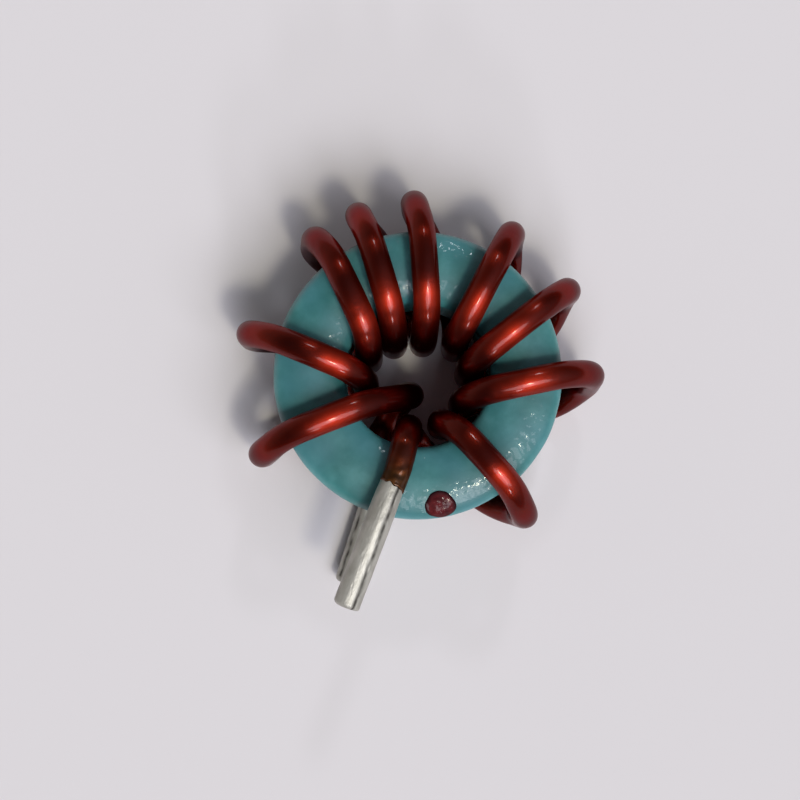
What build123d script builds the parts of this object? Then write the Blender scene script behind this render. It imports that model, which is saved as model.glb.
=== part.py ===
from build123d import *
import os
from math import acos, degrees, radians, tan

os.makedirs("parts", exist_ok=True)

# Toroidal inductor, in millimetres. It lies on its face: the axis of the core is Z, the wire under the
# core touches the plane Z = 0, and both leads point along -Y, one above the other.

# Core: a pressed powder ring with a smooth thick coat, whose faces are crowned
core_outer_diameter = 11.2
core_inner_diameter = 5.6
core_height = 4.1
face_crown = 0.41
edge_radius = 0.6

# Enamelled wire
wire_diameter = 1.08
core_clearance = 0.03
outer_bend_ease = 0.3
middle_bend_ease = 0.55
largest_bend_radius = 2.1

# Stripped and tinned ends of the wire
lead_diameter = 1.06
lead_tip_radius = 0.2
lead_bend_stand_off = 0.35
lead_bend_radius = 3.0
upper_lead_reach = 3.7
upper_lead_drop = 0.25
upper_enamel_inset = 1.2
upper_lead_bend_inset = 1.9
upper_lead_bend_x = 0.57
upper_lead_tip_x = 0.5
lower_lead_reach = 3.05
lower_lead_lift = 0.2
lower_enamel_inset = 1.0
lower_lead_bend_inset = 1.6
lower_lead_bend_x = -0.05
lower_lead_tip_x = 0.17

# First rise of the wire, which stands free in the middle of the hole
middle_rise_radius = 0.78
middle_rise_foot_angle = 250
middle_rise_head_angle = 281
approach_gap = 0.09
approach_inset = 0.1

# Rises along the wall of the hole, clockwise seen from above and in the order of the wire: the gap to the
# wire before it, the stand-off from the wall, and the angle by which the head is turned from the foot
first_wall_rise_angle = 210
wall_rise_gaps = [0.0, 0.06, 0.05, 0.06, 0.2, 0.14, 0.1, 0.09, 0.19]
wall_rise_stand_offs = [0.17, 0.17, 0.6, 0.82, 0.3, 0.22, 0.2, 0.16, 0.14]
wall_rise_twist_angles = [-2.5, -2.0, -1.5, -1.5, 1.5, 4.0, 0.0, -0.5, -0.5]

# Falls outside the core, in the order of the wire: the angles of the upper and of the lower end, and how far
# it bulges from the rim, then the sideways bow and the arch of the run over the core that leads to it
fall_head_angles = [227.2, 186.3, 146.8, 130.6, 111.4, 76.6, 49.6, 20.6, 327.5]
fall_foot_angles = [226.0, 186.0, 149.0, 129.5, 111.0, 76.0, 50.0, 18.5, 328.0]
fall_bulges = [0.62, 0.6, 0.52, 0.55, 0.62, 0.5, 0.58, 0.62, 0.66]
over_run_bows = [0.26, 0.14, 0.26, 0.16, 0.2, 0.0, -0.05, -0.12, -0.28]
over_run_arch = 0.32
under_run_bow = 0.3
under_run_turn_ratio = 0.3
bend_ratio = 0.45

# Dab of paint on the outer slope of the core's upper face
dot_angle = 299.9
dot_tilt = 21
dot_length = 1.3
dot_width = 1.12
dot_height = 0.16

# Places that follow from the sizes above
hole_radius = core_inner_diameter / 2
rim_radius = core_outer_diameter / 2
wire_radius = wire_diameter / 2
low_level = wire_radius
core_bottom = wire_diameter + core_clearance
core_top = core_bottom + core_height
middle_radius = (hole_radius + rim_radius) / 2
crown_radius = (((rim_radius - hole_radius) / 2) ** 2 + face_crown**2) / (2 * face_crown)
high_level = core_top + core_clearance + wire_radius
wall_line = hole_radius - core_clearance - wire_radius
rim_line = rim_radius + core_clearance + wire_radius


def around(radius, angle):
    """The point of the plan at a distance from the axis of the core and at an angle from +X."""
    return Vector(radius, 0).rotate(Axis.Z, angle)


def toward(start, end, distance, aside=0):
    """The point at a distance from start towards end, shifted to the right of that way."""
    way = (end - start).normalized()
    return start + way * distance + Vector(way.Y, -way.X) * aside


def lift(point, level):
    """A point of the plan at its level."""
    return Vector(point.X, point.Y, level)


def corner_cut(stand_off):
    """How far from the corner of two runs its bend starts, so that the wire clears an edge of the core."""
    bend_radius = edge_radius + core_clearance + wire_radius + stand_off
    return min(bend_radius, largest_bend_radius) * (1 - tan(radians(22.5)))


def wall_rise_places():
    """Distance from the axis and foot angle of each rise, a wire and its gap from the one before it."""
    places = []
    for gap, stand_off in zip(wall_rise_gaps, wall_rise_stand_offs):
        radius = wall_line - stand_off
        if not places:
            places.append((radius, first_wall_rise_angle))
            continue
        last_radius, last_angle = places[-1]
        spacing = wire_diameter + gap
        cosine = (radius**2 + last_radius**2 - spacing**2) / (2 * radius * last_radius)
        places.append((radius, last_angle - degrees(acos(cosine))))
    return places


# Straight stretches of the leads: where each leaves its bend, where its enamel ends, and its tip
upper_bend = Vector(upper_lead_bend_x, upper_lead_bend_inset - rim_radius)
upper_tip = Vector(upper_lead_tip_x, -rim_radius - upper_lead_reach)
upper_joint = toward(upper_bend, upper_tip, upper_lead_bend_inset - upper_enamel_inset)
lower_bend = Vector(lower_lead_bend_x, lower_lead_bend_inset - rim_radius)
lower_tip = Vector(lower_lead_tip_x, -rim_radius - lower_lead_reach)
lower_joint = toward(lower_bend, lower_tip, lower_lead_bend_inset - lower_enamel_inset)


def wire_route():
    """The corners of the wire's way, from the lower lead, through every turn, to the upper lead."""
    places = wall_rise_places()
    last_foot = around(*places[-1])
    approach = Vector(last_foot.X - wire_diameter - approach_gap, -hole_radius - approach_inset)
    foot = around(middle_rise_radius, middle_rise_foot_angle)
    head = around(middle_rise_radius, middle_rise_head_angle)
    foot_cut = corner_cut(wall_line - middle_rise_radius)
    head_cut = foot_cut + middle_bend_ease
    corners = [lift(point, low_level) for point in (lower_joint, lower_bend, approach)]
    corners.append(lift(toward(foot, approach, foot_cut), low_level))

    rises = zip(places, wall_rise_stand_offs, wall_rise_twist_angles)
    falls = zip(fall_head_angles, fall_foot_angles, fall_bulges, over_run_bows)
    for (place, stand_off, twist_angle), (head_angle, foot_angle, bulge, bow) in zip(rises, falls):
        corners.append(lift(foot, low_level + foot_cut))
        corners.append(lift(head, high_level - head_cut))
        fall_head = around(rim_line + bulge, head_angle)
        fall_foot = around(rim_line + bulge, foot_angle)
        fall_cut = corner_cut(bulge + outer_bend_ease)
        over_start = toward(head, fall_head, head_cut, bow)
        over_end = toward(fall_head, head, fall_cut, -bow)
        corners.append(lift(over_start, high_level))
        corners.append(lift((over_start + over_end) / 2, high_level + over_run_arch))
        corners.append(lift(over_end, high_level))
        corners.append(lift(fall_head, high_level - fall_cut))
        corners.append(lift(fall_foot, low_level + fall_cut))

        radius, angle = place
        foot_cut = corner_cut(stand_off)
        head_cut = foot_cut
        foot = around(radius, angle)
        head = around(radius, angle + twist_angle)
        under = around(radius + foot_cut, angle + under_run_turn_ratio * ((foot_angle - angle) % 360))
        corners.append(lift(toward(fall_foot, under, fall_cut, -under_run_bow), low_level))
        corners.append(lift(under, low_level))

    corners.append(lift(foot, low_level + foot_cut))
    corners.append(lift(head, high_level - head_cut))
    corners.append(lift(toward(head, upper_bend, head_cut), high_level))
    corners += [lift(point, high_level) for point in (upper_bend, upper_joint)]
    return corners


def bend_radii(corners):
    """The largest radius that fits each corner between its two runs."""
    radii = []
    for before, corner, after in zip(corners, corners[1:], corners[2:]):
        shorter_run = min((corner - before).length, (after - corner).length)
        turn = radians((corner - before).get_angle(after - corner))
        radii.append(bend_ratio * shorter_run / tan(turn / 2))
    return radii


# Core
with BuildPart() as core:
    with BuildSketch(Plane.XZ) as core_section:
        with BuildLine():
            upper_rim = (rim_radius, core_top - face_crown)
            lower_rim = (rim_radius, core_bottom + face_crown)
            upper_brink = (hole_radius, core_top - face_crown)
            lower_brink = (hole_radius, core_bottom + face_crown)
            ThreePointArc(upper_brink, (middle_radius, core_top), upper_rim)
            Line(upper_rim, lower_rim)
            ThreePointArc(lower_rim, (middle_radius, core_bottom), lower_brink)
            Line(lower_brink, upper_brink)
        make_face()
        fillet(core_section.vertices(), edge_radius)
    revolve(axis=Axis.Z)
core.part.label = "core"
export_step(core.part, "parts/core.step")

# Winding: one length of enamelled wire, wound through the core
route = wire_route()
radii = bend_radii(route)
with BuildPart() as winding:
    with BuildLine() as wire_path:
        FilletPolyline(*route, radius=radii)
    with BuildSketch(Plane(origin=wire_path.line @ 0, x_dir=(0, 0, 1), z_dir=wire_path.line % 0)):
        Circle(wire_radius)
    sweep(path=wire_path.line)
winding.part.label = "winding"
export_step(winding.part, "parts/winding.step")
print("smallest bend radius", round(min(radii), 2), "wire length", round(wire_path.wire().length, 1))


def tinned_lead(joint, tip, level, tip_level):
    """A bare wire end with its skin of solder: a rod with a rounded tip that bends a little past the rim."""
    bend_share = (joint.Y + rim_radius + lead_bend_stand_off) / (joint.Y - tip.Y)
    bend = joint + (tip - joint) * bend_share
    with BuildPart() as lead:
        with BuildLine() as lead_path:
            lead_corners = [lift(joint, level), lift(bend, level), lift(tip, tip_level)]
            FilletPolyline(*lead_corners, radius=lead_bend_radius)
        with BuildSketch(Plane(origin=lead_path.line @ 0, x_dir=(0, 0, 1), z_dir=lead_path.line % 0)):
            Circle(lead_diameter / 2)
        sweep(path=lead_path.line)
        fillet(lead.faces().sort_by(Axis.Y)[0].edges(), lead_tip_radius)
    return lead


# Tinned end of the wire that leaves over the core
tinned_lead_upper = tinned_lead(upper_joint, upper_tip, high_level, high_level - upper_lead_drop)
tinned_lead_upper.part.label = "tinned_lead_upper"
export_step(tinned_lead_upper.part, "parts/tinned_lead_upper.step")

# Tinned end of the wire that leaves under the core
tinned_lead_lower = tinned_lead(lower_joint, lower_tip, low_level, low_level + lower_lead_lift)
tinned_lead_lower.part.label = "tinned_lead_lower"
export_step(tinned_lead_lower.part, "parts/tinned_lead_lower.step")

# Dab of paint: a low dome whose underside is the crowned face of the core
dot_normal = Vector(0, 0, 1).rotate(Axis.Y, dot_tilt)
crown_centre = Vector(middle_radius, 0, core_top - crown_radius)
dot_plane = Plane(origin=crown_centre + dot_normal * crown_radius, x_dir=(0, 1, 0), z_dir=dot_normal)
dot_dome = dot_plane * scale(Sphere(1), by=(dot_length / 2, dot_width / 2, dot_height))
with BuildPart() as paint_dot:
    add(dot_dome.rotate(Axis.Z, dot_angle))
    add(core.part, mode=Mode.SUBTRACT)
paint_dot.part.label = "paint_dot"
export_step(paint_dot.part, "parts/paint_dot.step")
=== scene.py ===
from math import acos, asin, cos, degrees, pi, radians, sin, tan

import bpy
import numpy as np
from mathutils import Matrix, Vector, noise


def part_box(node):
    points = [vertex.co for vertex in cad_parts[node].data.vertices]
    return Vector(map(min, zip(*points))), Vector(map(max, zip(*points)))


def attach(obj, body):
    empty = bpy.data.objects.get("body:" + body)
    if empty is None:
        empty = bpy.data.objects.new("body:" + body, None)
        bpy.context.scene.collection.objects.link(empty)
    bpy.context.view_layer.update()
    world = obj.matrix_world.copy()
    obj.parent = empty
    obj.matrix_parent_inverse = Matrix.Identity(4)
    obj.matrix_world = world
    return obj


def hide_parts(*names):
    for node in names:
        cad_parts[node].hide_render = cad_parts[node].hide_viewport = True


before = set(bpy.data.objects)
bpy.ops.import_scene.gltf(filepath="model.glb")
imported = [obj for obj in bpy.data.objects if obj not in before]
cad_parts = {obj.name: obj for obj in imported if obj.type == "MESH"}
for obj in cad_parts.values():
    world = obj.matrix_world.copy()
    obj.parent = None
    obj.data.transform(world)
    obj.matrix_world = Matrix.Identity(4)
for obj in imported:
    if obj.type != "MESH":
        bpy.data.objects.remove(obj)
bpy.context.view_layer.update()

# Toroidal inductor that lies on its face, seen from above. All sizes are in metres, all angles in degrees.
mm = 0.001

# Core: its rim and the levels of its faces come from the frame
core_low, core_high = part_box("core")
rim_radius = core_high.x
core_bottom = core_low.z
core_top = core_high.z
hole_radius = 2.8 * mm
face_crown = 0.41 * mm
edge_radius = 0.6 * mm
middle_radius = (hole_radius + rim_radius) / 2
half_width = (rim_radius - hole_radius) / 2
crown_radius = (half_width**2 + face_crown**2) / (2 * face_crown)

# Section of the core, seen from the middle of its own height and width
half_height = (core_top - core_bottom) / 2
crown_centre = np.array([0, half_height - crown_radius])
edge_tilt = degrees(asin((half_width - edge_radius) / (crown_radius - edge_radius)))
edge_way = np.array([sin(radians(edge_tilt)), cos(radians(edge_tilt))])
edge_centre = crown_centre + (crown_radius - edge_radius) * edge_way

# Enamelled wire
wire_radius = 0.54 * mm
core_clearance = 0.03 * mm
outer_bend_ease = 0.3 * mm
middle_bend_ease = 0.55 * mm
largest_bend_radius = 2.1 * mm
low_level = wire_radius
high_level = core_top + core_clearance + wire_radius
wall_line = hole_radius - core_clearance - wire_radius
rim_line = rim_radius + core_clearance + wire_radius

# Tinned ends of the wire
lead_radius = 0.53 * mm
lead_tip_radius = 0.2 * mm
lead_bend_stand_off = 0.35 * mm
lead_hidden_length = 0.5 * mm
upper_lead_reach = 3.7 * mm
upper_lead_drop = 0.25 * mm
upper_enamel_inset = 1.2 * mm
upper_lead_bend_inset = 1.9 * mm
upper_lead_bend_x = 0.57 * mm
upper_lead_tip_x = 0.5 * mm
lower_lead_reach = 3.05 * mm
lower_lead_lift = 0.2 * mm
lower_enamel_inset = 1.0 * mm
lower_lead_bend_inset = 1.6 * mm
lower_lead_bend_x = -0.05 * mm
lower_lead_tip_x = 0.17 * mm

# First rise of the wire, free in the middle of the hole
middle_rise_radius = 0.78 * mm
middle_rise_foot_angle = 250
middle_rise_head_angle = 281
approach_gap = 0.09 * mm
approach_inset = 0.1 * mm

# Rises along the wall of the hole, falls outside the core and the runs over it, in the order of the wire
first_wall_rise_angle = 210
wall_rise_gaps = np.array([0.0, 0.06, 0.05, 0.06, 0.2, 0.14, 0.1, 0.09, 0.19]) * mm
wall_rise_stand_offs = np.array([0.17, 0.17, 0.6, 0.82, 0.3, 0.22, 0.2, 0.16, 0.14]) * mm
wall_rise_twist_angles = [-2.5, -2.0, -1.5, -1.5, 1.5, 4.0, 0.0, -0.5, -0.5]
fall_head_angles = [227.2, 186.3, 146.8, 130.6, 111.4, 76.6, 49.6, 20.6, 327.5]
fall_foot_angles = [226.0, 186.0, 149.0, 129.5, 111.0, 76.0, 50.0, 18.5, 328.0]
fall_bulges = np.array([0.62, 0.6, 0.52, 0.55, 0.62, 0.5, 0.58, 0.62, 0.66]) * mm
over_run_bows = np.array([0.26, 0.14, 0.26, 0.16, 0.2, 0.0, -0.05, -0.12, -0.28]) * mm
over_run_arch = 0.32 * mm
under_run_bow = 0.3 * mm
under_run_turn_ratio = 0.3
bend_ratio = 0.45
lead_bend_ratio = 0.1

# Dab of paint on the outer slope of the core's upper face
dot_angle = 299.9
dot_tilt = 21
dot_length = 1.3 * mm
dot_width = 1.12 * mm
dot_height = 0.16 * mm
dot_sink = 0.04 * mm
dot_unevenness = 0.12

# Dents of the skins, in layers of depth, wavelength and seed, and the share of a radius that they start from
enamel_dents = [(0.01 * mm, 0.9 * mm, 0.0), (0.004 * mm, 0.35 * mm, 7.0)]
enamel_blisters = [(0.03 * mm, 0.22 * mm, 9.0)]
coat_dents = [(0.02 * mm, 0.8 * mm, 11.0)]
solder_dents = [(0.014 * mm, 0.5 * mm, 0.0), (0.006 * mm, 0.16 * mm, 5.0)]
paint_lumps = [(0.08 * mm, 0.3 * mm, 21.0)]
skin_share = 0.999

# Marks drawn along the enamelled wire, whose width counts in radii of the wire
drawn_depth = 0.008 * mm
drawn_length = 1.6 * mm
drawn_width = 0.9

# End of the enamel at the upper lead: burnt, ragged, and longer on its right side
burnt_length = 1.6 * mm
full_burnt_share = 0.25
ragged_depth = 0.16 * mm
ragged_length = 0.9 * mm
enamel_tongue = 0.22 * mm
enamel_end_hollow = 0.3 * mm

# Solder: thicker away from the enamel, with a groove along it, and squarer on the right of each tip
thin_solder_depth = 0.035 * mm
thin_solder_length = 0.5 * mm
seam_depth = 0.02 * mm
seam_width = 9
seam_wander = 6
seam_wander_length = 0.7 * mm
seam_gap_length = 0.22 * mm
upper_seam_tilt = 34
lower_seam_tilt = -42
upper_solder_seed = 31.0
lower_solder_seed = 47.0
square_tip_share = 0.8

# Fineness of the meshes
arc_points = 12
section_arc_points = 24
wire_spacing = 0.088 * mm
wire_sides = 48
wire_easing = 0.15 * mm
lead_spacing = 0.035 * mm
lead_sides = 120
lead_easing = 0.1 * mm
tip_rings = 7
core_spacing = 0.085 * mm
core_steps = 540
dot_rings = 26
dot_sides = 96

# The photograph's view: nearly straight down, turned about the axis of the core
view_turn = 20.2
view_tilt = 4
camera_place = Vector((1.378, -5.724, 74.062)) * mm
lens_length = 81.11
sensor_width = 36
picture_right = np.array([cos(radians(view_turn)), sin(radians(view_turn)), 0])

# Lamps: bearing, angle from the vertical, share of the light on the floor, softness and colour
warm_white = (1.05, 1.0, 0.76)
cool_white = (0.97, 0.99, 1.06)
lamps = [
    ("key_lamp", 57, 26, 0.19, 7, warm_white),
    ("wide_lamp_below", 78, 36, 0.28, 29, cool_white),
    ("wide_lamp_right", 48, 35, 0.29, 30, cool_white),
    ("far_lamp", 283, 48, 0.05, 6, cool_white),
    ("low_lamp", 80, 62, 0.05, 7, cool_white),
]

# Room: the light from each angle off the way to its window
window_bearing = 30
window_from_vertical = 45
room_light = [
    (140, (0.42, 0.41, 0.38)),
    (106, (0.22, 0.215, 0.2)),
    (85, (0.08, 0.08, 0.08)),
    (60, (0.09, 0.095, 0.1)),
    (30, (0.25, 0.26, 0.29)),
    (0, (0.45, 0.48, 0.53)),
]
floor_half_width = 1.5


def unit(vector):
    return vector / np.linalg.norm(vector)


def around(radius, angle):
    """The point of the plan at a distance from the axis of the core and at an angle from +X."""
    return radius * np.array([cos(radians(angle)), sin(radians(angle))])


def toward(start, end, distance, aside=0.0):
    """The point at a distance from start towards end, shifted to the right of that way."""
    way = unit(end - start)
    return start + way * distance + np.array([way[1], -way[0]]) * aside


def lift(point, level):
    """A point of the plan at its level."""
    return np.array([point[0], point[1], level])


def corner_cut(stand_off):
    """How far from the corner of two runs its bend starts, so that the wire clears an edge of the core."""
    bend_radius = edge_radius + core_clearance + wire_radius + stand_off
    return min(bend_radius, largest_bend_radius) * (1 - tan(radians(22.5)))


# Leads: where each leaves its bend in the plan, its tip, the end of its enamel, and its two ends in space
upper_bend = np.array([upper_lead_bend_x, upper_lead_bend_inset - rim_radius])
upper_tip = np.array([upper_lead_tip_x, -rim_radius - upper_lead_reach])
upper_joint = toward(upper_bend, upper_tip, upper_lead_bend_inset - upper_enamel_inset)
upper_lead_ends = lift(upper_joint, high_level), lift(upper_tip, high_level - upper_lead_drop)
lower_bend = np.array([lower_lead_bend_x, lower_lead_bend_inset - rim_radius])
lower_tip = np.array([lower_lead_tip_x, -rim_radius - lower_lead_reach])
lower_joint = toward(lower_bend, lower_tip, lower_lead_bend_inset - lower_enamel_inset)
lower_lead_ends = lift(lower_joint, low_level), lift(lower_tip, low_level + lower_lead_lift)


def wall_rise_places():
    """Distance from the axis and foot angle of each rise, a wire and its gap from the one before it."""
    places = []
    for gap, stand_off in zip(wall_rise_gaps, wall_rise_stand_offs):
        radius = wall_line - stand_off
        if not places:
            places.append((radius, first_wall_rise_angle))
            continue
        last_radius, last_angle = places[-1]
        spacing = 2 * wire_radius + gap
        cosine = (radius**2 + last_radius**2 - spacing**2) / (2 * radius * last_radius)
        places.append((radius, last_angle - degrees(acos(cosine))))
    return places


def wire_route():
    """The corners of the wire's way, from the lower lead, through every turn, to the upper lead."""
    places = wall_rise_places()
    last_foot = around(*places[-1])
    approach = np.array([last_foot[0] - 2 * wire_radius - approach_gap, -hole_radius - approach_inset])
    foot = around(middle_rise_radius, middle_rise_foot_angle)
    head = around(middle_rise_radius, middle_rise_head_angle)
    foot_cut = corner_cut(wall_line - middle_rise_radius)
    head_cut = foot_cut + middle_bend_ease
    corners = [lift(point, low_level) for point in (lower_joint, lower_bend, approach)]
    corners.append(lift(toward(foot, approach, foot_cut), low_level))

    rises = zip(places, wall_rise_stand_offs, wall_rise_twist_angles)
    falls = zip(fall_head_angles, fall_foot_angles, fall_bulges, over_run_bows)
    for (place, stand_off, twist_angle), (head_angle, foot_angle, bulge, bow) in zip(rises, falls):
        corners.append(lift(foot, low_level + foot_cut))
        corners.append(lift(head, high_level - head_cut))
        fall_head = around(rim_line + bulge, head_angle)
        fall_foot = around(rim_line + bulge, foot_angle)
        fall_cut = corner_cut(bulge + outer_bend_ease)
        over_start = toward(head, fall_head, head_cut, bow)
        over_end = toward(fall_head, head, fall_cut, -bow)
        corners.append(lift(over_start, high_level))
        corners.append(lift((over_start + over_end) / 2, high_level + over_run_arch))
        corners.append(lift(over_end, high_level))
        corners.append(lift(fall_head, high_level - fall_cut))
        corners.append(lift(fall_foot, low_level + fall_cut))

        radius, angle = place
        foot_cut = corner_cut(stand_off)
        head_cut = foot_cut
        foot = around(radius, angle)
        head = around(radius, angle + twist_angle)
        under = around(radius + foot_cut, angle + under_run_turn_ratio * ((foot_angle - angle) % 360))
        corners.append(lift(toward(fall_foot, under, fall_cut, -under_run_bow), low_level))
        corners.append(lift(under, low_level))

    corners.append(lift(foot, low_level + foot_cut))
    corners.append(lift(head, high_level - head_cut))
    corners.append(lift(toward(head, upper_bend, head_cut), high_level))
    corners += [lift(point, high_level) for point in (upper_bend, upper_joint)]
    return corners


def bent_line(corners, ratio):
    """Straight runs joined by arcs, which take up a share of the shorter run at each corner."""
    points = [corners[0]]
    for before, corner, after in zip(corners, corners[1:], corners[2:]):
        incoming, outgoing = corner - before, after - corner
        setback = ratio * min(np.linalg.norm(incoming), np.linalg.norm(outgoing))
        incoming, outgoing = unit(incoming), unit(outgoing)
        turn = acos(min(1.0, incoming @ outgoing))
        if turn < 1e-4:
            continue
        radius = setback / tan(turn / 2)
        inward = unit(outgoing - (outgoing @ incoming) * incoming)
        start = corner - incoming * setback
        for angle in np.linspace(0, turn, arc_points):
            points.append(start + incoming * radius * sin(angle) + inward * radius * (1 - cos(angle)))
    points.append(corners[-1])
    return np.array(points)


def even_line(points, spacing, easing):
    """The same line with evenly spaced points and eased bends, and how far along it each point lies."""
    steps = np.linalg.norm(np.diff(points, axis=0), axis=1)
    lengths = np.concatenate([[0.0], np.cumsum(steps)])
    count = int(round(lengths[-1] / spacing)) + 1
    places = np.linspace(0, lengths[-1], count)
    line = np.column_stack([np.interp(places, lengths, points[:, axis]) for axis in range(3)])
    reach = int(3 * easing / spacing)
    if reach:
        weights = np.exp(-0.5 * (np.arange(-reach, reach + 1) * spacing / easing) ** 2)
        weights /= weights.sum()
        padded = np.vstack([2 * line[0] - line[reach:0:-1], line, 2 * line[-1] - line[-2:-reach - 2:-1]])
        line = np.column_stack([np.convolve(padded[:, axis], weights, "valid") for axis in range(3)])
    return line, places


def circle_of(sides):
    """Cosines and sines of evenly spaced angles round a circle."""
    angles = np.linspace(0, 2 * pi, sides, endpoint=False)
    return np.cos(angles), np.sin(angles)


def ring_directions(line, sides):
    """Tangents of the line, and at each of its points the ways outward, carried along it without twist."""
    tangents = np.gradient(line, axis=0)
    tangents /= np.linalg.norm(tangents, axis=1)[:, None]
    first = np.array([0.0, 0.0, 1.0])
    across = []
    for tangent in tangents:
        first = unit(first - (first @ tangent) * tangent)
        across.append(first)
    across = np.array(across)
    aside = np.cross(tangents, across)
    cosines, sines = circle_of(sides)
    return tangents, across[:, None] * cosines[:, None] + aside[:, None] * sines[:, None]


def roughness_of(points, wavelength, seed=0.0, stretch=(1, 1, 1)):
    """Smooth noise from 0 to 1 at each point of an array."""
    shape = points.shape[:-1]
    scaled = points.reshape(-1, 3) / wavelength / np.array(stretch) + seed
    values = np.array([noise.noise(Vector(point)) for point in scaled])
    return np.clip(0.5 + 0.7 * values, 0, 1).reshape(shape)


def roughness_round(sides, wavelength, seed):
    """Smooth noise from 0 to 1 round a circle, whose radius is the unit of the wavelength."""
    cosines, sines = circle_of(sides)
    return roughness_of(np.stack([cosines, sines, 0 * cosines], axis=-1), wavelength, seed)


def dents_of(points, layers, seed=0.0, stretch=(1, 1, 1)):
    """Depth of the dents at each point, from layers of depth, wavelength and seed."""
    depths = 0.0
    for depth, wavelength, layer_seed in layers:
        depths = depths + depth * roughness_of(points, wavelength, seed + layer_seed, stretch)
    return depths


def grid_object(name, rows, material, caps=()):
    """A smooth mesh of closed rings. A point caps each end, or without caps the last ring meets the first."""
    row_count, ring_count = rows.shape[:2]
    index = np.arange(row_count * ring_count).reshape(row_count, ring_count)
    onward = np.roll(index, -1, axis=1)
    if caps:
        quads = np.stack([index[:-1], onward[:-1], onward[1:], index[1:]], axis=-1)
    else:
        quads = np.stack([index, onward, np.roll(onward, -1, axis=0), np.roll(index, -1, axis=0)], axis=-1)
    faces = quads.reshape(-1, 4).tolist()
    points = rows.reshape(-1, 3).tolist()
    for cap, ring, ring_onward in zip(caps, (index[0], index[-1]), (onward[0], onward[-1])):
        points.append(list(cap))
        fan = [[int(a), int(b), len(points) - 1] for a, b in zip(ring, ring_onward)]
        faces += fan if ring[0] else [triangle[::-1] for triangle in fan]
    mesh = bpy.data.meshes.new(name)
    mesh.from_pydata(points, [], faces)
    mesh.validate()
    mesh.shade_smooth()
    mesh.materials.append(material)
    piece = bpy.data.objects.new(name, mesh)
    bpy.context.scene.collection.objects.link(piece)
    return piece


def add_measure(piece, name, values):
    """Keeps a number for each point of a piece, 0 at its caps, which its material reads."""
    attribute = piece.data.attributes.new(name, "FLOAT", "POINT")
    at_caps = np.zeros(len(piece.data.vertices) - values.size)
    attribute.data.foreach_set("value", np.concatenate([values.ravel(), at_caps]).astype(np.float32))


def add_direction(piece, name, ways):
    """Keeps a direction for each point of a piece, upward at its caps, which its material reads."""
    attribute = piece.data.attributes.new(name, "FLOAT_VECTOR", "POINT")
    ways = ways.reshape(-1, 3)
    at_caps = np.tile((0.0, 0.0, 1.0), (len(piece.data.vertices) - len(ways), 1))
    attribute.data.foreach_set("vector", np.vstack([ways, at_caps]).astype(np.float32).ravel())


def finish_piece(piece, node):
    """Hides the node that a piece replaces and ties the piece to the one body."""
    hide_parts(node)
    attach(piece, "root")


class Shading:
    """Node tree of one procedural material, with coordinates in millimetres of the part's frame."""

    def __init__(self, name):
        self.material = bpy.data.materials.new(name)
        self.material.use_nodes = True
        self.tree = self.material.node_tree
        self.shader = self.tree.nodes["Principled BSDF"]
        place = self.tree.nodes.new("ShaderNodeTexCoord").outputs["Object"]
        self.place = self.scaled(place, (1 / mm, 1 / mm, 1 / mm))

    def scaled(self, place, scale):
        mapping = self.tree.nodes.new("ShaderNodeMapping")
        mapping.inputs["Scale"].default_value = scale
        self.tree.links.new(place, mapping.inputs["Vector"])
        return mapping.outputs["Vector"]

    def noise(self, wavelength, detail, stretch=(1, 1, 1)):
        """Noise from 0 to 1, with its wavelength in millimetres."""
        node = self.tree.nodes.new("ShaderNodeTexNoise")
        node.inputs["Scale"].default_value = 1 / wavelength
        node.inputs["Detail"].default_value = detail
        place = self.scaled(self.place, tuple(1 / s for s in stretch))
        self.tree.links.new(place, node.inputs["Vector"])
        return node.outputs["Fac"]

    def kept(self, name, output="Fac"):
        """The number that the piece keeps for each of its points, or the direction from output Vector."""
        node = self.tree.nodes.new("ShaderNodeAttribute")
        node.attribute_name = name
        return node.outputs[output]

    def ramp(self, value, stops):
        node = self.tree.nodes.new("ShaderNodeValToRGB")
        elements = node.color_ramp.elements
        while len(elements) < len(stops):
            elements.new(0.5)
        for element, (position, colour) in zip(elements, stops):
            element.position = position
            element.color = (*colour, 1) if isinstance(colour, tuple) else (colour, colour, colour, 1)
        self.tree.links.new(value, node.inputs["Fac"])
        return node.outputs["Color"]

    def mix(self, factor, first, second):
        node = self.tree.nodes.new("ShaderNodeMix")
        node.data_type = "RGBA"
        self.put(node.inputs["Factor"], factor)
        self.put(node.inputs[6], first)
        self.put(node.inputs[7], second)
        return node.outputs[2]

    def put(self, socket, value):
        """Links a node's output to a socket, or writes a colour or a number on it."""
        if isinstance(value, bpy.types.NodeSocket):
            self.tree.links.new(value, socket)
        elif isinstance(value, tuple):
            socket.default_value = (*value, 1)
        else:
            socket.default_value = value

    def bump(self, heights, socket="Normal"):
        """Small relief from a list of (height, distance in millimetres), laid one over the other."""
        normal = None
        for height, distance in heights:
            node = self.tree.nodes.new("ShaderNodeBump")
            node.inputs["Strength"].default_value = 1.0
            node.inputs["Distance"].default_value = distance * mm
            self.tree.links.new(height, node.inputs["Height"])
            if normal is not None:
                self.tree.links.new(normal, node.inputs["Normal"])
            normal = node.outputs["Normal"]
        self.tree.links.new(normal, self.shader.inputs[socket])

    def set(self, **values):
        for name, value in values.items():
            self.put(self.shader.inputs[name.replace("_", " ")], value)


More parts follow.
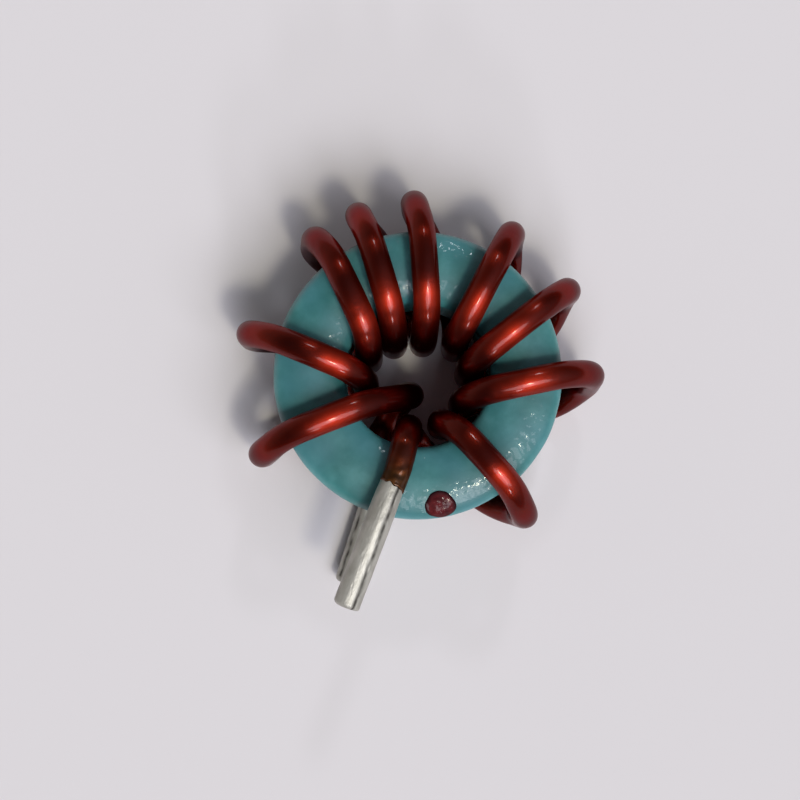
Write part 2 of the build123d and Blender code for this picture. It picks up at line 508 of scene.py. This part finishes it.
def enamel_material():
    """Clear deep red enamel over drawn copper, browner where it was burnt back beside the upper lead."""
    shade = Shading("red_enamel")
    cloud = shade.noise(1.4, 3.0)
    body = shade.ramp(cloud, [(0.3, (0.155, 0.0095, 0.0038)), (0.7, (0.24, 0.0158, 0.0058))])
    body = shade.mix(shade.kept("burnt"), body, (0.08, 0.029, 0.008))
    shade.set(Base_Color=body, Metallic=1.0, Roughness=0.405, Specular_Tint=(0.36, 0.12, 0.13))
    shade.set(Anisotropic=0.88, Tangent=shade.kept("around", "Vector"))
    shade.set(Coat_Weight=0.38, Coat_Roughness=0.12)
    shade.bump([(shade.noise(0.34, 2.0), 0.005), (shade.noise(0.11, 2.0), 0.0014)])
    return shade.material


def coat_material():
    """Thick blue-green coat with paler clouds and bluer patches, under a gloss with fine dimples."""
    shade = Shading("blue_green_coat")
    dark, middle, pale = (0.024, 0.16, 0.159), (0.042, 0.203, 0.205), (0.075, 0.268, 0.274)
    body = shade.ramp(shade.noise(0.9, 5.0), [(0.3, dark), (0.5, middle), (0.72, pale)])
    bluer = shade.ramp(shade.noise(2.4, 2.0), [(0.35, 0.0), (0.65, 0.6)])
    body = shade.mix(bluer, body, (0.054, 0.198, 0.24))
    shade.set(Base_Color=body, Roughness=0.55, Diffuse_Roughness=1.0)
    shade.set(Coat_Weight=0.28, Coat_Roughness=0.05)
    shade.bump([(shade.noise(0.5, 2.0), 0.012)])
    shade.bump([(shade.noise(0.26, 0.5), 0.04), (shade.noise(0.13, 0.5), 0.004)], "Coat Normal")
    return shade.material


def solder_material():
    """Bright uneven solder skin with marks drawn along the wire and a painted dark reflection along its seam.
    """
    shade = Shading("solder_skin")
    patches = shade.noise(0.35, 3.0, stretch=(1, 2, 1))
    body = shade.ramp(patches, [(0.3, (0.385, 0.367, 0.325)), (0.7, (0.53, 0.507, 0.463))])
    # painted dark reflection: the line along the seam, over its real groove, is darkened
    body = shade.mix(shade.kept("seam_and_dark_reflection"), body, (0.05, 0.045, 0.038))
    shade.set(Base_Color=body, Metallic=0.6, Roughness=0.54)
    ripples = shade.noise(0.26, 2.0, stretch=(1, 1.8, 1))
    drawn = shade.noise(0.1, 2.0, stretch=(1, 5, 1))
    shade.bump([(ripples, 0.03), (drawn, 0.016), (shade.noise(0.07, 2.0), 0.008)])
    return shade.material


def paint_material():
    """Dried dark red paint, darker at its brim by painted shade, under a dimpled skin."""
    shade = Shading("dark_red_paint")
    cloud = shade.noise(0.3, 3.0)
    body = shade.ramp(cloud, [(0.3, (0.04, 0.003, 0.005)), (0.7, (0.11, 0.01, 0.012))])
    # painted shade: the paint darkens toward the dab's brim
    body = shade.mix(shade.kept("shaded_brim"), body, (0.016, 0.001, 0.003))
    shade.set(Base_Color=body, Roughness=0.6, Specular_IOR_Level=0.08)
    shade.set(Coat_Weight=0.2, Coat_Roughness=0.04)
    shade.bump([(shade.noise(0.1, 1.0), 0.004)])
    shade.bump([(shade.noise(0.15, 0.5), 0.035)], "Coat Normal")
    return shade.material


def paper_material():
    """Plain pale paper of the floor."""
    shade = Shading("pale_paper")
    shade.set(Base_Color=(0.685, 0.65, 0.67), Roughness=0.9, Specular_IOR_Level=0.2)
    return shade.material


def make_winding():
    """The wire through every turn, slightly uneven, with a burnt and ragged end at the upper lead."""
    line, places = even_line(bent_line(wire_route(), bend_ratio), wire_spacing, wire_easing)
    tangents, outward = ring_directions(line, wire_sides)
    skin = line[:, None] + outward * wire_radius
    dents = dents_of(skin, enamel_dents)
    marks = np.broadcast_arrays(places[:, None] / drawn_length, *circle_of(wire_sides))
    dents += drawn_depth * roughness_of(np.stack(marks, axis=-1), drawn_width, 5.0)
    from_end = places[-1] - places
    burnt = np.clip(1 + full_burnt_share - from_end / burnt_length, 0, 1)[:, None]
    dents += burnt * dents_of(skin, enamel_blisters)
    skin = line[:, None] + outward * (wire_radius * skin_share - dents)[..., None]

    near_end = np.clip(1 - from_end / ragged_length, 0, 1)[:, None] ** 2
    tongue = enamel_tongue * np.clip(outward[-1] @ picture_right, 0, 1) ** 2
    shift = tongue - ragged_depth * (1 - roughness_round(wire_sides, 0.42, 3.0))
    skin += tangents[:, None] * (near_end * shift)[..., None]

    caps = (line[0], line[-1] - tangents[-1] * enamel_end_hollow)
    piece = grid_object("enamelled_winding", skin, enamel_material(), caps)
    add_direction(piece, "around", np.cross(tangents[:, None], outward))
    add_measure(piece, "burnt", np.repeat(burnt, wire_sides))
    finish_piece(piece, "winding")


def arc_of_section(centre, radius, start, end, count=section_arc_points):
    """Points of an arc of the core's section, from the start angle to the end angle."""
    angles = np.radians(np.linspace(start, end, count))
    across = middle_radius + centre[0] + radius * np.cos(angles)
    up = (core_bottom + core_top) / 2 + centre[1] + radius * np.sin(angles)
    return np.column_stack([across, 0 * angles, up])


def revolved(section):
    """The points or ways of the core's section at each step round its axis."""
    cosines, sines = circle_of(core_steps)
    ring = np.empty((core_steps, len(section), 3))
    ring[..., 0] = cosines[:, None] * section[:, 0]
    ring[..., 1] = sines[:, None] * section[:, 0]
    ring[..., 2] = section[:, 2]
    return ring


def make_core():
    """The ring with its crowned faces, its rounded edges and the slight unevenness of its coat."""
    outline = np.vstack([
        arc_of_section(edge_centre, edge_radius, 0, 90 - edge_tilt),
        arc_of_section(crown_centre, crown_radius, 90 - edge_tilt, 90 + edge_tilt),
        arc_of_section(edge_centre * (-1, 1), edge_radius, 90 + edge_tilt, 180),
        arc_of_section(edge_centre * (-1, -1), edge_radius, 180, 270 - edge_tilt),
        arc_of_section(crown_centre * (1, -1), crown_radius, 270 - edge_tilt, 270 + edge_tilt),
        arc_of_section(edge_centre * (1, -1), edge_radius, 270 + edge_tilt, 360),
        arc_of_section(edge_centre, edge_radius, 0, 0, 1),
    ])
    profile, _ = even_line(outline, core_spacing, 0.0)
    profile = profile[:-1]
    centre = np.array([middle_radius, 0, (core_bottom + core_top) / 2])
    tangents = np.roll(profile, -1, axis=0) - np.roll(profile, 1, axis=0)
    normals = np.column_stack([tangents[:, 2], 0 * tangents[:, 0], -tangents[:, 0]])
    normals /= np.linalg.norm(normals, axis=1)[:, None]
    normals *= np.sign(((profile - centre) * normals).sum(axis=1))[:, None]

    skin = revolved(profile)
    skin -= revolved(normals) * dents_of(skin, coat_dents)[..., None]
    piece = grid_object("coated_core", skin, coat_material())
    finish_piece(piece, "core")


def seam_of(line, outward, skin, seam_tilt, seed):
    """How much of the lengthwise seam lies at each point of a lead, from 0 to 1: its groove and its painted
    dark reflection.
    """
    tilt = np.degrees(np.arctan2(outward @ picture_right, outward[..., 2]))
    wander = seam_wander * (roughness_of(line, seam_wander_length, seed + 9) - 0.5)[:, None]
    seam_and_dark_reflection = np.exp(-((tilt - seam_tilt - wander) / seam_width) ** 2)
    return seam_and_dark_reflection * np.clip(1.6 * roughness_of(skin, seam_gap_length, seed + 3, (1, 1.6, 1)), 0, 1)


def make_lead(name, node, start, tip, seam_tilt, seed):
    """A tinned end: uneven solder with a seam along it, bent a little past the rim, rounded at its tip."""
    bend_share = (start[1] + rim_radius + lead_bend_stand_off) / (start[1] - tip[1])
    bend = lift(start + (tip - start) * bend_share, start[2])
    inner_end = start - unit(bend - start) * lead_hidden_length
    line, places = even_line(bent_line([inner_end, bend, tip], lead_bend_ratio), lead_spacing, lead_easing)
    tangents, outward = ring_directions(line, lead_sides)
    skin = line[:, None] + outward * lead_radius
    seam_and_dark_reflection = seam_of(line, outward, skin, seam_tilt, seed)
    past_enamel = np.maximum(places - lead_hidden_length, 0)[:, None]
    dents = dents_of(skin, solder_dents, seed, (1, 2, 1))
    dents += thin_solder_depth * np.exp(-past_enamel / thin_solder_length)
    dents += seam_depth * seam_and_dark_reflection

    keep = places[-1] - places > lead_tip_radius
    radii = lead_radius * skin_share - dents
    rows = [line[keep][:, None] + outward[keep] * radii[keep][..., None]]
    squareness = square_tip_share * np.clip(outward[-1] @ picture_right, 0, 1) ** 6
    rounding = lead_tip_radius * (1 - squareness)
    for angle in np.linspace(0, pi / 2, tip_rings):
        centre = line[-1] - tangents[-1] * (rounding * (1 - sin(angle)))[:, None]
        radius = radii[-1] - rounding * (1 - cos(angle))
        rows.append((centre + outward[-1] * radius[:, None])[None])
    rows.append((line[-1] + outward[-1] * (lead_radius - lead_tip_radius) / 2)[None])
    piece = grid_object(name, np.concatenate(rows), solder_material(), caps=(line[0], line[-1]))
    add_measure(piece, "seam_and_dark_reflection", np.vstack([seam_and_dark_reflection[keep], np.tile(seam_and_dark_reflection[-1], (tip_rings + 1, 1))]))
    finish_piece(piece, node)


def point_on_core(along, down, height):
    """A point over the core: along the rim and down its slope from the middle of the dab."""
    slope = radians(dot_tilt) + down / crown_radius
    past_crown = np.maximum(slope - radians(edge_tilt), 0)
    slope = np.minimum(slope, radians(edge_tilt))
    bend = slope + past_crown * crown_radius / edge_radius
    to_edge, past_edge = crown_radius - edge_radius, edge_radius + height
    radius = middle_radius + to_edge * np.sin(slope) + past_edge * np.sin(bend)
    level = core_top - crown_radius + to_edge * np.cos(slope) + past_edge * np.cos(bend)
    turn = radians(dot_angle) + along / rim_radius
    return np.stack([radius * np.cos(turn), radius * np.sin(turn), level], axis=-1)


def make_dot():
    """A lumpy dab of paint with an uneven outline, which follows the rounded edge of the core."""
    cosines, sines = circle_of(dot_sides)
    reach = 1 + dot_unevenness * (roughness_round(dot_sides, 0.6, 2.0) - 0.5)
    shares = np.concatenate([[1.0], np.sin(np.linspace(pi / 2, 0, dot_rings))[:-1]])[:, None]
    heights = dot_height * np.sqrt(1 - shares**2)
    heights[0] -= dot_sink
    along = dot_length / 2 * shares * reach * cosines
    down = dot_width / 2 * shares * reach * sines
    skin = point_on_core(along, down, heights)
    lumps = dents_of(skin, paint_lumps)
    lumps[:2] = 0
    skin[..., 2] -= lumps * (1 - shares**4)
    caps = (point_on_core(0.0, 0.0, -dot_sink), skin[-1].mean(axis=0))
    piece = grid_object("paint_blob", skin, paint_material(), caps)
    # painted shade toward the brim of the dab, which its material reads
    add_measure(piece, "shaded_brim", np.repeat(np.clip((shares - 0.7) / 0.25, 0, 1), dot_sides))
    finish_piece(piece, "paint_dot")


def make_floor():
    """The plain floor, a square at level 0."""
    half = floor_half_width
    corners = [(-half, -half, 0), (half, -half, 0), (half, half, 0), (-half, half, 0)]
    mesh = bpy.data.meshes.new("paper_floor")
    mesh.from_pydata(corners, [], [(0, 1, 2, 3)])
    mesh.materials.append(paper_material())
    floor = bpy.data.objects.new("paper_floor", mesh)
    bpy.context.scene.collection.objects.link(floor)


def picture_direction(bearing, from_vertical):
    """A direction in the room. Its bearing is counted clockwise in the picture from its right side."""
    turn = radians(view_turn - bearing)
    away = radians(from_vertical)
    return Vector((sin(away) * cos(turn), sin(away) * sin(turn), cos(away)))


def add_lamp(name, bearing, from_vertical, share, softness, colour):
    """A soft lamp, which gives a share of the light that falls on the floor."""
    way = picture_direction(bearing, from_vertical)
    lamp = bpy.data.lights.new(name, "SUN")
    lamp.energy = share * pi / way.z
    lamp.color = colour
    lamp.angle = radians(softness)
    holder = bpy.data.objects.new(name, lamp)
    holder.rotation_mode = "QUATERNION"
    holder.rotation_quaternion = way.to_track_quat("Z", "Y")
    bpy.context.scene.collection.objects.link(holder)


def light_room():
    """A dim room, brightest toward its window and on the side away from it."""
    world = bpy.data.worlds.new("room")
    bpy.context.scene.world = world
    world.use_nodes = True
    tree = world.node_tree
    place = tree.nodes.new("ShaderNodeTexCoord")
    facing = tree.nodes.new("ShaderNodeVectorMath")
    facing.operation = "DOT_PRODUCT"
    facing.inputs[1].default_value = picture_direction(window_bearing, window_from_vertical)
    share = tree.nodes.new("ShaderNodeMapRange")
    share.inputs["From Min"].default_value = -1
    ramp = tree.nodes.new("ShaderNodeValToRGB")
    tree.links.new(place.outputs["Generated"], facing.inputs[0])
    tree.links.new(facing.outputs["Value"], share.inputs["Value"])
    tree.links.new(share.outputs["Result"], ramp.inputs["Fac"])
    elements = ramp.color_ramp.elements
    while len(elements) < len(room_light):
        elements.new(0.5)
    for element, (from_window, colour) in zip(elements, room_light):
        element.position = (1 + cos(radians(from_window))) / 2
        element.color = (*colour, 1)
    tree.links.new(ramp.outputs["Color"], tree.nodes["Background"].inputs["Color"])


def place_camera():
    """The camera of the photograph's view, with the view transform that shows colours as written."""
    camera = bpy.data.cameras.new("camera")
    camera.lens = lens_length
    camera.sensor_width = sensor_width
    camera.clip_start = 1 * mm
    camera.clip_end = 10
    holder = bpy.data.objects.new("camera", camera)
    holder.location = camera_place
    holder.rotation_euler = (radians(view_tilt), 0, radians(view_turn))
    bpy.context.scene.collection.objects.link(holder)
    bpy.context.scene.camera = holder
    bpy.context.scene.view_settings.view_transform = "Standard"


place_camera()
for lamp in lamps:
    add_lamp(*lamp)
light_room()
make_floor()
make_core()
make_winding()
make_lead("upper_lead", "tinned_lead_upper", *upper_lead_ends, upper_seam_tilt, upper_solder_seed)
make_lead("lower_lead", "tinned_lead_lower", *lower_lead_ends, lower_seam_tilt, lower_solder_seed)
make_dot()
